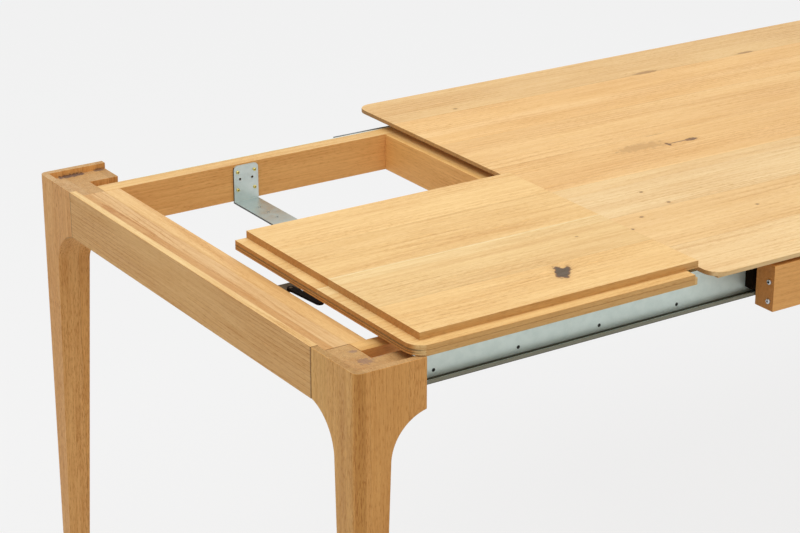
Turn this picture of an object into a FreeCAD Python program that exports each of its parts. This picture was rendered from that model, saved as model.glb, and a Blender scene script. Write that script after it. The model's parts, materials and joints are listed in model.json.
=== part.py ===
import FreeCAD, Part
import Sketcher
import os

# Oak dining table whose ends draw out on steel runners. Each end carries a tray for a
# folding leaf. The left end stands drawn out with its leaf laid on it, still folded.
# The right end is pushed home with its leaf stowed in the tray.
# Millimetres, +X along the table, +Y across it, +Z up, origin on the floor below the middle.

doc = FreeCAD.newDocument("DrawLeafTable")
sheet = doc.addObject("Spreadsheet::Sheet", "Dims")

driving = [
    # Table as a whole
    ("topLength", 1800, "length of the fixed top"),
    ("topWidth", 1000, "width over the legs and the top"),
    ("topHeight", 760, "floor to the top surface"),
    ("drawGap", 38, "laid leaf to the fixed top, end drawn out"),
    # Panels: a thin lip on a thicker core
    ("lipThick", 7.5, "lip thickness"),
    ("coreThick", 11.5, "core thickness under the lip"),
    ("cornerRadius", 28, "rounded corner of the top and leaf in plan"),
    ("endLip", 26, "lip past the core at the ends of the top"),
    ("sideLip", 22, "lip past the core along the sides of the top"),
    ("lipGap", 1.5, "lip above the rim it covers"),
    ("seatGap", 0.4, "core above the rails it rides over"),
    # Leaf
    ("leafLength", 497, "leaf lip along the table"),
    ("leafLip", 20, "leaf lip past its core, outer end and outer side"),
    ("leafTongue", 22, "leaf core past its lip, towards the top"),
    ("leafStart", 97, "end face to the laid leaf"),
    ("foldGap", 0.4, "between the folded halves"),
    ("seamGap", 0.6, "between the unfolded halves"),
    ("barrelRadius", 5, "concealed hinge barrel"),
    ("barrelDepth", 16, "hinge barrel into the edge"),
    ("barrelInset", 70, "outer hinge barrel from the leaf's end"),
    ("stowGap", 0.3, "stowed leaf above the strap"),
    # Legs
    ("legBlock", 117, "square block at the head of a leg"),
    ("legWaist", 58, "leg below the knee"),
    ("legFoot", 36, "leg at the floor"),
    ("kneeRadius", 72, "hollow under the block"),
    ("legCorner", 12, "rounded outer corner"),
    ("rimWidth", 12, "raised rim on leg and apron"),
    ("slotStart", 64, "end face to the runner slot in the leg"),
    ("slotFace", 60, "side face to the runner slot in the leg"),
    ("glideThick", 5, "floor glide"),
    ("glideRadius", 14, "floor glide"),
    ("glidePin", 3.5, "radius of the glide's pin"),
    ("glidePinLength", 16, "glide pin in the leg"),
    # End apron and tray frame
    ("apronDepth", 79, "rim to the lower edge of the apron"),
    ("apronThick", 62, "end apron"),
    ("railThick", 30, "tray rails"),
    ("railDepth", 66, "tray rails"),
    ("crossThick", 45, "cross rail, which reaches under the top's core"),
    ("trayGap", 9, "clear length of the tray past the stowed leaf"),
    # Steel strap across the tray
    ("strapStart", 308, "end face to the strap"),
    ("strapWidth", 48, "strap along the table"),
    ("strapThick", 3, "strap sheet"),
    ("strapDepth", 67, "rail top to the strap's floor"),
    ("strapRise", 2, "strap's ears below the rail top"),
    ("strapRound", 8, "rounded corners of the ears"),
    ("screwInset", 7.5, "strap edge to its screws"),
    ("screwUpper", 14, "rail top to the upper strap screws"),
    ("screwLower", 46, "rail top to the lower strap screws"),
    ("spareInset", 12, "strap edge to its spare holes"),
    ("spareDrop", 27, "rail top to the spare holes"),
    ("spareRadius", 2.3, "spare holes"),
    ("spareDepth", 10, "pilot behind a spare hole, in the rail"),
    ("floorHole", 2.5, "radius of the holes in the strap's floor"),
    ("floorHoleFirst", 47, "rail to the first floor hole"),
    ("floorHolePitch", 29.5, "between floor holes"),
    # Screws
    ("shankRadius", 2, "wood screw shank"),
    ("shankLength", 18, "wood screw in the timber"),
    ("headRadius", 4.3, "pan head"),
    ("headHeight", 2.4, "pan head"),
    ("strapHead", 2.9, "head of a strap screw"),
    ("stopHead", 3.2, "stop screw head standing out of the side apron"),
    ("stopInset", 10, "side face to the stop screws"),
    ("stopUpper", 28, "side apron's upper edge to the upper stop screw"),
    ("stopLower", 59.6, "side apron's upper edge to the lower stop screw"),
    # Telescopic runners
    ("steelThick", 2, "runner sheet"),
    ("channelDepth", 14, "channel out of the rail"),
    ("channelHeight", 67.5, "channel"),
    ("channelDrop", 4.5, "channel below the rail top"),
    ("channelLip", 6, "turned lip of the channel"),
    ("channelGap", 25, "leg to the channel"),
    ("channelHoleFirst", 185, "end face to the first channel screw"),
    ("channelHoleLast", 87, "last channel screw to the tail of the rail"),
    ("channelHoleUp", 14, "channel's lower edge to its screws"),
    ("channelScrewLength", 9, "channel screw in the rail"),
    ("channelHead", 2.9, "head of a channel screw"),
    ("channelScrewSink", 0.4, "channel screw's head below the web's face"),
    ("runnerGap", 0.5, "running clearance between the runner members"),
    ("midPlate", 6, "middle runner's plate"),
    ("midExtra", 82, "middle runner past half the draw"),
    ("midNearHold", 88, "near middle runner in its channel, drawn out"),
    ("midFarHome", 109, "leg to the far middle runner, end pushed home"),
    ("ribHeight", 40, "middle runner's rib and fixed runner"),
    ("capLength", 12, "plastic cap on the middle runner"),
    ("fixedThick", 6, "fixed runner"),
    ("fixedLength", 560, "fixed runner"),
    # Side aprons, battens and bearer under the top
    ("sideThick", 40, "side apron"),
    ("sideSetback", 120.5, "end of the top to the side apron"),
    ("shadowGap", 6, "side apron below the lip"),
    ("battenSetback", 62.5, "side apron's end to the batten"),
    ("bearerThick", 30, "middle bearer"),
    ("bearerDepth", 50, "middle bearer"),
    ("bearerGap", 15, "tail of the side rails to the middle bearer, end pushed home"),
    # Lock lever under the tray
    ("lockDrop", 3.5, "apron's lower edge to the lock plate"),
    ("lockThick", 3, "lock plate sheet"),
    ("lockWidth", 30, "lock plate"),
    ("lockFoot", 20, "end face to the lock plate"),
    ("lockBend", 55, "end face to the plate's bend"),
    ("lockReach", 206, "end face to the plate's tip"),
    ("lockOffset", 3, "lock plate from the middle of the table"),
    ("pivotReach", 189, "end face to the lever's pivot"),
    ("pivotOffset", -10, "lever's pivot from the middle of the table"),
    ("pivotRadius", 3, "pivot stud"),
    ("pivotGap", 0.1, "lever's bore round the stud"),
    ("leverLength", 75, "pivot to the centre of the lever's tip"),
    ("leverWidth", 13, "lever"),
    ("leverThick", 4, "lever"),
    ("leverLift", 0.2, "lever above its plate"),
]
leverAngle = -84.5    # degrees, lever at rest, seen from above
channelHoles = 5    # screws along each channel
floorHoles = 3      # holes at each end of the strap's floor

for row, (alias, value, note) in enumerate(driving, 1):
    sheet.set(f"A{row}", note)
    sheet.set(f"B{row}", str(value))
    sheet.setAlias(f"B{row}", alias)
doc.recompute()

# Heights and widths that several pieces share
lipFoot = "(Dims.topHeight - Dims.lipThick)"
coreFoot = f"({lipFoot} - Dims.coreThick)"
rim = f"({lipFoot} - Dims.lipGap)"
seat = f"({coreFoot} - Dims.seatGap)"
apronFoot = f"({rim} - Dims.apronDepth)"
railFoot = f"({seat} - Dims.railDepth)"
strapFloor = f"({seat} - Dims.strapDepth)"
channelTop = f"({seat} - Dims.channelDrop)"
channelFoot = f"({channelTop} - Dims.channelHeight)"
channelMiddle = f"({channelTop} - Dims.channelHeight / 2)"
lockTop = f"({apronFoot} - Dims.lockDrop)"
halfWidth = "(Dims.topWidth / 2)"
trayHalf = f"({halfWidth} - Dims.legBlock)"
trayStart = "(Dims.apronThick + Dims.railThick)"
trayLength = "(Dims.leafLength + Dims.leafTongue + Dims.trayGap)"
drawOut = "(Dims.leafStart + Dims.leafLength + Dims.drawGap)"
railReach = "((Dims.topLength - Dims.bearerThick) / 2 - Dims.bearerGap)"

# Runner members, counted inwards from the table's side face
railFace = "(Dims.legBlock - Dims.railThick)"
channelMouth = f"({railFace} - Dims.channelDepth)"
midInner = f"({railFace} - Dims.steelThick - Dims.runnerGap)"
midWeb = f"({channelMouth} - Dims.runnerGap)"
midOuter = f"({midWeb} - Dims.midPlate)"
fixedInner = f"({midOuter} - Dims.runnerGap)"
fixedOuter = f"({fixedInner} - Dims.fixedThick)"

# A frame has the x of its origin and the way it faces: 1 along +X, -1 turned half round
overall = f"(Dims.topLength + {drawOut})"
leftEnd = (f"(-{overall} / 2)", 1)
rightEnd = (f"({overall} / 2)", -1)
topEnd = (f"(({drawOut} - Dims.topLength) / 2)", 1)
ends = {"left": leftEnd, "right": rightEnd}
topEnds = {"left": topEnd, "right": rightEnd}
sides = ("near", "far")

alongX = FreeCAD.Rotation(FreeCAD.Vector(0, 1, 0), 90)
alongY = FreeCAD.Rotation(FreeCAD.Vector(1, 0, 0), -90)
alongZ = FreeCAD.Rotation()
upright = FreeCAD.Rotation(FreeCAD.Vector(1, 0, 0), 90)    # a wedge's own Y made to stand up
pieces = []


def place(thing, at, rotation=alongZ, frame=("0", 1)):
    # put a thing at a point of a frame, with every coordinate bound to the sheet
    origin, facing = frame
    turn = FreeCAD.Rotation(FreeCAD.Vector(0, 0, 1), 0 if facing > 0 else 180)
    thing.Placement = FreeCAD.Placement(FreeCAD.Vector(), turn.multiply(rotation))
    thing.setExpression(".Placement.Base.x", f"{origin} + {facing} * ({at[0]})")
    thing.setExpression(".Placement.Base.y", f"{facing} * ({at[1]})")
    thing.setExpression(".Placement.Base.z", at[2])
    return thing


def bind(thing, **sizes):
    for name, text in sizes.items():
        thing.setExpression(name, text)
    return thing


def box(name, low, high):
    thing = doc.addObject("Part::Box", name)
    length, width, height = [f"({b}) - ({a})" for a, b in zip(low, high)]
    bind(thing, Length=length, Width=width, Height=height)
    return place(thing, low)


def rod(name, radius, length, start, direction):
    thing = doc.addObject("Part::Cylinder", name)
    bind(thing, Radius=radius, Height=length)
    return place(thing, start, direction)


def join(name, parts):
    thing = doc.addObject("Part::MultiFuse", name)
    thing.Shapes = parts
    thing.Refine = True
    return thing


def cut(name, base, tools):
    thing = doc.addObject("Part::Cut", name)
    thing.Base = base
    thing.Tool = tools[0] if len(tools) == 1 else join(name + "_tools", tools)
    return thing


def group(name, parts):
    thing = doc.addObject("Part::Compound", name)
    thing.Links = parts
    return thing


def finish(thing, label, frame=("0", 1), at=("0", "0", "0"), rotation=alongZ):
    # name a sub-part and set it in its frame
    thing.Label = label
    pieces.append(place(thing, at, rotation, frame))
    return thing


def across(side, inset):
    # y of a face that lies inset from the near or far side face
    return f"(-{halfWidth} + ({inset}))" if side == "near" else f"({halfWidth} - ({inset}))"


def span(side, outer, inner):
    # low and high y of a band that lies between two insets
    band = [across(side, outer), across(side, inner)]
    return band if side == "near" else band[::-1]


def sideBox(name, side, xs, insets, zs):
    ys = span(side, *insets)
    return box(name, (xs[0], ys[0], zs[0]), (xs[1], ys[1], zs[1]))


def board(label, frame, low, high):
    # a plain board that is a sub-part by itself
    return finish(box(label, low, high), label, frame, low)


def sideBoard(label, frame, side, xs, insets, zs):
    ys = span(side, *insets)
    return board(label, frame, (xs[0], ys[0], zs[0]), (xs[1], ys[1], zs[1]))


def corner(name, radius, low, high, centre):
    # what a rounded upright corner takes off: a square post less a round one
    post = box(name + "_post", low, high)
    height = f"({high[2]}) - ({low[2]})"
    core = rod(name + "_round", radius, height, (centre[0], centre[1], low[2]), alongZ)
    return cut(name, post, [core])


def sideRod(name, side, radius, x, z, insets):
    # a round bar across the table between two insets from a side face
    low, high = span(side, *insets)
    return rod(name, radius, f"({high}) - ({low})", (x, low, z), alongY)


def profile(name, points, length):
    # a bar along X whose section in YZ is a closed line of corner points
    body = doc.addObject("PartDesign::Body", name)
    sketch = body.newObject("Sketcher::SketchObject", name + "_section")
    planes = body.Origin.OriginFeatures
    sketch.AttachmentSupport = [(next(p for p in planes if p.Role == "YZ_Plane"), "")]
    sketch.MapMode = "FlatFace"
    # the line starts as a small ring, and its constraints then draw it to the points
    count = len(points)
    upAxis = FreeCAD.Vector(0, 0, 1)
    spoke = FreeCAD.Vector(10, 0, 0)
    ring = [FreeCAD.Rotation(upAxis, 360 * i / count).multVec(spoke) for i in range(count)]
    for i in range(count):
        sketch.addGeometry(Part.LineSegment(ring[i], ring[(i + 1) % count]))
    for i in range(count):
        sketch.addConstraint(Sketcher.Constraint("Coincident", i, 2, (i + 1) % count, 1))
    for i, (y, z) in enumerate(points):
        for kind, text, start in (("DistanceX", y, ring[i].x), ("DistanceY", z, ring[i].y)):
            index = sketch.addConstraint(Sketcher.Constraint(kind, -1, 1, i, 1, start))
            sketch.setExpression(f"Constraints[{index}]", text)
    pad = body.newObject("PartDesign::Pad", name + "_pad")
    pad.Profile = sketch
    pad.setExpression("Length", length)
    return body


kneeDrop = "sqrt(Dims.kneeRadius ^ 2 - (Dims.legWaist + Dims.kneeRadius - Dims.legBlock) ^ 2)"
kneeFoot = f"({apronFoot} - {kneeDrop})"
kneeCentre = "(Dims.legWaist + Dims.kneeRadius)"


def leg(name, side):
    # square block, hollow knee on both inner faces, taper to the floor, outer faces upright
    full = ("0", "Dims.legBlock")
    block = sideBox(name + "_block", side, full, full, (kneeFoot, rim))
    hollowX = sideRod(name + "_hollow_x", side, "Dims.kneeRadius", kneeCentre, kneeFoot, full)
    hollowStart = ("0", across(side, kneeCentre), kneeFoot)
    hollowY = rod(name + "_hollow_y", "Dims.kneeRadius", "Dims.legBlock", hollowStart, alongX)
    inRim = ("Dims.rimWidth", "Dims.legBlock")
    pocket = sideBox(name + "_pocket", side, inRim, inRim, (seat, rim))
    slotX = ("Dims.slotStart", "Dims.legBlock")
    slotY = ("Dims.slotFace", "Dims.legBlock")
    slot = sideBox(name + "_slot", side, slotX, slotY, (kneeFoot, rim))
    head = cut(name + "_head", block, [hollowX, hollowY, pocket, slot])

    taper = doc.addObject("Part::Wedge", name + "_taper")
    taperHeight = f"{kneeFoot} - Dims.glideThick"
    bind(taper, Xmin="0", X2min="0", Xmax="Dims.legFoot", X2max="Dims.legWaist", Ymin="0", Ymax=taperHeight)
    if side == "near":
        bind(taper, Zmin="-Dims.legFoot", Z2min="-Dims.legWaist", Zmax="0", Z2max="0")
    else:
        bind(taper, Zmin="0", Z2min="0", Zmax="Dims.legFoot", Z2max="Dims.legWaist")
    place(taper, ("0", across(side, "0"), "Dims.glideThick"), upright)

    edgeY = span(side, "0", "Dims.legCorner")
    edgeLow = ("0", edgeY[0], "Dims.glideThick")
    edgeHigh = ("Dims.legCorner", edgeY[1], rim)
    edgeCentre = ("Dims.legCorner", across(side, "Dims.legCorner"))
    edge = corner(name + "_edge", "Dims.legCorner", edgeLow, edgeHigh, edgeCentre)
    bore = glidePin(name + "_bore", side)
    return cut(name, join(name + "_solid", [head, taper]), [edge, bore])


def glidePin(name, side):
    start = ("Dims.legFoot / 2", across(side, "Dims.legFoot / 2"), "Dims.glideThick")
    return rod(name, "Dims.glidePin", "Dims.glidePinLength", start, alongZ)


def glide(name, side):
    start = ("Dims.legFoot / 2", across(side, "Dims.legFoot / 2"), "0")
    disc = rod(name + "_disc", "Dims.glideRadius", "Dims.glideThick", start, alongZ)
    return join(name, [disc, glidePin(name + "_pin", side)])


lockScrewX = "((Dims.lockFoot + Dims.lockBend - Dims.lockThick) / 2)"
lockScrewYs = [f"(Dims.lockOffset {sign} Dims.lockWidth / 4)" for sign in "-+"]


def lockShanks(name):
    # screw shanks from under the lock plate's foot up into the apron
    start = f"{apronFoot} - Dims.lockThick"
    length = "Dims.lockThick + Dims.shankLength"
    return [
        rod(f"{name}_{i}", "Dims.shankRadius", length, (lockScrewX, y, start), alongZ)
        for i, y in enumerate(lockScrewYs)
    ]


def lockScrews(name):
    screws = []
    for i, shank in enumerate(lockShanks(name + "_shank")):
        start = (lockScrewX, lockScrewYs[i], f"{apronFoot} - Dims.lockThick - Dims.headHeight")
        head = rod(f"{name}_head_{i}", "Dims.headRadius", "Dims.headHeight", start, alongZ)
        screws.append(join(f"{name}_{i}", [head, shank]))
    return group(name, screws)


def endApron(name):
    low = ("0", f"-{trayHalf}", apronFoot)
    plank = box(name + "_plank", low, ("Dims.apronThick", trayHalf, rim))
    step = box(name + "_step", ("Dims.rimWidth", f"-{trayHalf}", seat), ("Dims.apronThick", trayHalf, rim))
    return cut(name, plank, [step] + lockShanks(name + "_pilot"))


strapScrewXs = (
    "(Dims.strapStart + Dims.screwInset)",
    "(Dims.strapStart + Dims.strapWidth - Dims.screwInset)",
)
strapScrewZs = (f"({seat} - Dims.screwUpper)", f"({seat} - Dims.screwLower)")
strapScrewSpots = [(x, z) for x in strapScrewXs for z in strapScrewZs]
spareXs = ("(Dims.strapStart + Dims.spareInset)", "(Dims.strapStart + Dims.strapWidth - Dims.spareInset)")
spareZ = f"({seat} - Dims.spareDrop)"
channelStart = "(Dims.legBlock + Dims.channelGap)"
channelPitch = f"(({railReach} - Dims.channelHoleFirst - Dims.channelHoleLast) / {channelHoles - 1})"
channelScrewXs = [f"(Dims.channelHoleFirst + {i} * {channelPitch})" for i in range(channelHoles)]
channelScrewZ = f"({channelFoot} + Dims.channelHoleUp)"


def strapShanks(name, side):
    insets = ("Dims.legBlock - Dims.shankLength", "Dims.legBlock + Dims.strapThick")
    return [
        sideRod(f"{name}_{side}_{i}", side, "Dims.shankRadius", x, z, insets)
        for i, (x, z) in enumerate(strapScrewSpots)
    ]


def channelShanks(name, side):
    insets = (railFace, f"{railFace} + Dims.channelScrewLength")
    return [
        sideRod(f"{name}_{side}_{i}", side, "Dims.shankRadius", x, channelScrewZ, insets)
        for i, x in enumerate(channelScrewXs)
    ]


def channelScrews(name, side):
    # sunk screws, their heads just under the face of the channel's web
    insets = (f"{railFace} - Dims.steelThick + Dims.channelScrewSink", railFace)
    screws = []
    for i, shank in enumerate(channelShanks(name + "_shank", side)):
        x = channelScrewXs[i]
        head = sideRod(f"{name}_{side}_head_{i}", side, "Dims.channelHead", x, channelScrewZ, insets)
        screws.append(join(f"{name}_{side}_{i}", [head, shank]))
    return screws


def sideRail(name, side):
    xs = ("Dims.slotStart", railReach)
    rail = sideBox(name + "_bar", side, xs, (railFace, "Dims.legBlock"), (railFoot, seat))
    pilots = strapShanks(name + "_pilot", side) + channelShanks(name + "_seat", side)
    insets = ("Dims.legBlock - Dims.spareDepth", "Dims.legBlock")
    for i, x in enumerate(spareXs):
        pilots.append(sideRod(f"{name}_spare_{i}", side, "Dims.spareRadius", x, spareZ, insets))
    return cut(name, rail, pilots)


def strapScrews(name):
    screws = []
    for side in sides:
        insets = ("Dims.legBlock + Dims.strapThick", "Dims.legBlock + Dims.strapThick + Dims.headHeight")
        for i, shank in enumerate(strapShanks(name + "_shank", side)):
            x, z = strapScrewSpots[i]
            head = sideRod(f"{name}_{side}_head_{i}", side, "Dims.strapHead", x, z, insets)
            screws.append(join(f"{name}_{side}_{i}", [head, shank]))
    return group(name, screws)


def strap(name):
    # a U of sheet steel between the side rails, an ear screwed to each
    earTop = f"({seat} - Dims.strapRise)"
    floorFoot = f"({strapFloor} - Dims.strapThick)"
    inner = f"({trayHalf} - Dims.strapThick)"
    right = [(trayHalf, floorFoot), (trayHalf, earTop), (inner, earTop), (inner, strapFloor)]
    left = [(f"-{y}", z) for y, z in reversed(right)]
    body = profile(name + "_sheet", right + left, "Dims.strapWidth")
    doc.recompute()
    pad = body.Tip
    top = pad.Shape.BoundBox.ZMax
    ears = []
    for i, edge in enumerate(pad.Shape.Edges, 1):
        extent = edge.BoundBox
        alongTable = extent.XLength > extent.YLength
        if abs(extent.ZMin - top) < 0.01 and not alongTable:
            ears.append(f"Edge{i}")
    fillet = body.newObject("PartDesign::Fillet", name + "_round")
    fillet.Base = (pad, ears)
    fillet.setExpression("Radius", "Dims.strapRound")
    body.Tip = fillet
    place(body, ("Dims.strapStart", "0", "0"))

    # one long drill goes through both ears
    wide = ("Dims.legBlock", "Dims.topWidth - Dims.legBlock")
    holes = [
        sideRod(f"{name}_hole_{i}", "near", "Dims.shankRadius", x, z, wide)
        for i, (x, z) in enumerate(strapScrewSpots)
    ]
    for i, x in enumerate(spareXs):
        holes.append(sideRod(f"{name}_spare_{i}", "near", "Dims.spareRadius", x, spareZ, wide))
    for side in sides:
        for i in range(floorHoles):
            inset = f"(Dims.legBlock + Dims.floorHoleFirst + {i} * Dims.floorHolePitch)"
            start = ("Dims.strapStart + Dims.strapWidth / 2", across(side, inset), floorFoot)
            holes.append(rod(f"{name}_floor_{side}_{i}", "Dims.floorHole", "Dims.strapThick", start, alongZ))
    return cut(name, body, holes)


def channel(name, side):
    # lipped steel channel on a side rail's outer face, open to the outside
    web = f"({railFace} - Dims.steelThick)"
    lip = f"({channelMouth} + Dims.steelThick)"
    lower = [
        (railFace, channelFoot),
        (channelMouth, channelFoot),
        (channelMouth, f"{channelFoot} + Dims.channelLip"),
        (lip, f"{channelFoot} + Dims.channelLip"),
        (lip, f"{channelFoot} + Dims.steelThick"),
        (web, f"{channelFoot} + Dims.steelThick"),
    ]
    upper = [
        (web, f"{channelTop} - Dims.steelThick"),
        (lip, f"{channelTop} - Dims.steelThick"),
        (lip, f"{channelTop} - Dims.channelLip"),
        (channelMouth, f"{channelTop} - Dims.channelLip"),
        (channelMouth, channelTop),
        (railFace, channelTop),
    ]
    points = [(across(side, inset), z) for inset, z in lower + upper]
    body = profile(name + "_section", points, f"{railReach} - {channelStart}")
    place(body, (channelStart, "0", "0"))
    insets = (f"{railFace} - Dims.steelThick", railFace)
    holes = [
        sideRod(f"{name}_hole_{i}", side, "Dims.channelHead", x, channelScrewZ, insets)
        for i, x in enumerate(channelScrewXs)
    ]
    return cut(name, body, holes)


ribZs = (f"{channelMiddle} - Dims.ribHeight / 2", f"{channelMiddle} + Dims.ribHeight / 2")


def middleRunner(name, side, start):
    xs = (start, f"{start} + {drawOut} / 2 + Dims.midExtra")
    plate = sideBox(name + "_plate", side, xs, (midOuter, midWeb), (channelFoot, channelTop))
    rib = sideBox(name + "_rib", side, xs, (midWeb, midInner), ribZs)
    return join(name, [plate, rib])


def runnerCap(name, side, start):
    return sideBox(name, side, (f"{start} - Dims.capLength", start), (midOuter, midInner), ribZs)


def lockPlate(name):
    low = "(Dims.lockOffset - Dims.lockWidth / 2)"
    high = "(Dims.lockOffset + Dims.lockWidth / 2)"
    bend = "(Dims.lockBend - Dims.lockThick)"
    under = f"({lockTop} - Dims.lockThick)"
    footLow = ("Dims.lockFoot", low, f"{apronFoot} - Dims.lockThick")
    foot = box(name + "_foot", footLow, ("Dims.lockBend", high, apronFoot))
    riser = box(name + "_riser", (bend, low, under), ("Dims.lockBend", high, apronFoot))
    plate = box(name + "_plate", (bend, low, under), ("Dims.lockReach", high, lockTop))
    studStart = ("Dims.pivotReach", "Dims.pivotOffset", lockTop)
    stud = rod(name + "_stud", "Dims.pivotRadius", "Dims.leverLift + Dims.leverThick", studStart, alongZ)
    return cut(name, join(name + "_solid", [foot, riser, plate, stud]), lockShanks(name + "_hole"))


def lockLever(name):
    half = "Dims.leverWidth / 2"
    bar = box(name + "_bar", ("0", f"-{half}", "0"), ("Dims.leverLength", half, "Dims.leverThick"))
    root = rod(name + "_root", half, "Dims.leverThick", ("0", "0", "0"), alongZ)
    tip = rod(name + "_tip", half, "Dims.leverThick", ("Dims.leverLength", "0", "0"), alongZ)
    bore = rod(name + "_bore", "Dims.pivotRadius + Dims.pivotGap", "Dims.leverThick", ("0", "0", "0"), alongZ)
    return cut(name, join(name + "_solid", [bar, root, tip]), [bore])


halfLeaf = f"({halfWidth} - Dims.seamGap / 2)"
panel = "(Dims.lipThick + Dims.coreThick)"


def barrels(name):
    # hinge barrels let into the seam edge of a leaf half
    xs = ("Dims.barrelInset", "Dims.leafLength / 2", "Dims.leafLength - Dims.barrelInset")
    start = f"{halfLeaf} - Dims.barrelDepth"
    return [
        rod(f"{name}_{i}", "Dims.barrelRadius", "Dims.barrelDepth", (x, start, f"{panel} / 2"), alongY)
        for i, x in enumerate(xs)
    ]


def leafHalf(name, faceUp):
    # lip and core of one half, outer long side at y 0, seam at the far side
    lipZ = ("Dims.coreThick", panel) if faceUp else ("0", "Dims.lipThick")
    coreZ = ("0", "Dims.coreThick") if faceUp else ("Dims.lipThick", panel)
    lip = box(name + "_lip", ("0", "0", lipZ[0]), ("Dims.leafLength", halfLeaf, lipZ[1]))
    radius = "Dims.cornerRadius"
    outer = corner(name + "_outer", radius, ("0", "0", lipZ[0]), (radius, radius, lipZ[1]), (radius, radius))
    coreLow = ("Dims.leafLip", "Dims.leafLip", coreZ[0])
    core = box(name + "_core", coreLow, ("Dims.leafLength + Dims.leafTongue", halfLeaf, coreZ[1]))
    solid = join(name + "_solid", [cut(name + "_rounded", lip, [outer]), core])
    return cut(name, solid, barrels(name + "_bore"))


def leaf(prefix, frame, x, y, z):
    # two halves folded face to face, each with its hinge barrels
    halves = (("lower", True, z), ("upper", False, f"{z} + {panel} + Dims.foldGap"))
    for half, faceUp, foot in halves:
        finish(leafHalf(f"{prefix}_{half}_half", faceUp), f"{prefix}_{half}_half", frame, (x, y, foot))
        name = f"{prefix}_{half}_hinge_barrels"
        finish(group(name, barrels(name)), name, frame, (x, y, foot))


def mainTop(name):
    lip = box(name + "_lip", ("0", f"-{halfWidth}", lipFoot), ("Dims.topLength", halfWidth, "Dims.topHeight"))
    radius = "Dims.cornerRadius"
    corners = []
    for side in sides:
        ys = span(side, "0", radius)
        y = across(side, radius)
        for i, (x0, x1, x) in enumerate((
            ("0", radius, radius),
            (f"Dims.topLength - {radius}", "Dims.topLength", f"Dims.topLength - {radius}"),
        )):
            low = (x0, ys[0], lipFoot)
            high = (x1, ys[1], "Dims.topHeight")
            corners.append(corner(f"{name}_{side}_{i}", radius, low, high, (x, y)))
    coreHalf = f"({halfWidth} - Dims.sideLip)"
    coreLow = ("Dims.endLip", f"-{coreHalf}", coreFoot)
    core = box(name + "_core", coreLow, ("Dims.topLength - Dims.endLip", coreHalf, lipFoot))
    return join(name, [cut(name + "_rounded", lip, corners), core])


sideTop = f"({lipFoot} - Dims.shadowGap)"
stopZs = (f"{sideTop} - Dims.stopUpper", f"{sideTop} - Dims.stopLower")
sideEnds = ("Dims.sideSetback", "(Dims.topLength - Dims.sideSetback)")


def stopShanks(name, side):
    shanks = []
    for i, start in enumerate((sideEnds[0], f"{sideEnds[1]} - Dims.shankLength")):
        for k, z in enumerate(stopZs):
            spot = (start, across(side, "Dims.stopInset"), z)
            shanks.append(rod(f"{name}_{side}_{i}{k}", "Dims.shankRadius", "Dims.shankLength", spot, alongX))
    return shanks


def stopScrews(name):
    screws = []
    for side in sides:
        shanks = stopShanks(name + "_shank", side)
        for i, start in enumerate((f"{sideEnds[0]} - Dims.stopHead", sideEnds[1])):
            for k, z in enumerate(stopZs):
                spot = (start, across(side, "Dims.stopInset"), z)
                head = rod(f"{name}_{side}_head_{i}{k}", "Dims.headRadius", "Dims.stopHead", spot, alongX)
                screws.append(join(f"{name}_{side}_{i}{k}", [head, shanks[2 * i + k]]))
    return group(name, screws)


def sideApron(name, side):
    plank = sideBox(name + "_plank", side, sideEnds, ("0", "Dims.sideThick"), (apronFoot, sideTop))
    # rebated along its inner edge for the top's core
    underCore = ("Dims.sideLip", "Dims.sideThick")
    rebate = sideBox(name + "_rebate", side, sideEnds, underCore, (coreFoot, sideTop))
    return cut(name, plank, [rebate] + stopShanks(name + "_pilot", side))


battenStart = "(Dims.sideSetback + Dims.battenSetback)"
battenXs = (battenStart, f"(Dims.topLength - {battenStart})")
fixedXs = (battenStart, f"({battenStart} + Dims.fixedLength)")
bearerHalf = f"({halfWidth} - {fixedOuter})"
bearerFoot = f"({coreFoot} - Dims.bearerDepth)"
bearerLow = ("((Dims.topLength - Dims.bearerThick) / 2)", f"-{bearerHalf}", bearerFoot)
bearerHigh = ("((Dims.topLength + Dims.bearerThick) / 2)", bearerHalf, coreFoot)

# The fixed top and what hangs under it
finish(mainTop("main_top"), "main_top", topEnd)
for side in sides:
    finish(sideApron(f"side_apron_{side}", side), f"side_apron_{side}", topEnd)
    battenInsets = ("Dims.sideThick", fixedOuter)
    sideBoard(f"slide_batten_{side}", topEnd, side, battenXs, battenInsets, (railFoot, coreFoot))
finish(stopScrews("stop_screws"), "stop_screws", topEnd)
board("middle_bearer", topEnd, bearerLow, bearerHigh)

# Both ends: legs, apron, tray and runners. Turned half round, an end's near side is the table's far side
tableSides = {"left": {"near": "near", "far": "far"}, "right": {"near": "far", "far": "near"}}
rails = (
    ("front_rail", "Dims.apronThick", "Dims.railThick"),
    ("cross_rail", f"({trayStart} + {trayLength})", "Dims.crossThick"),
    ("tail_rail", f"({railReach} - Dims.railThick)", "Dims.railThick"),
)
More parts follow.
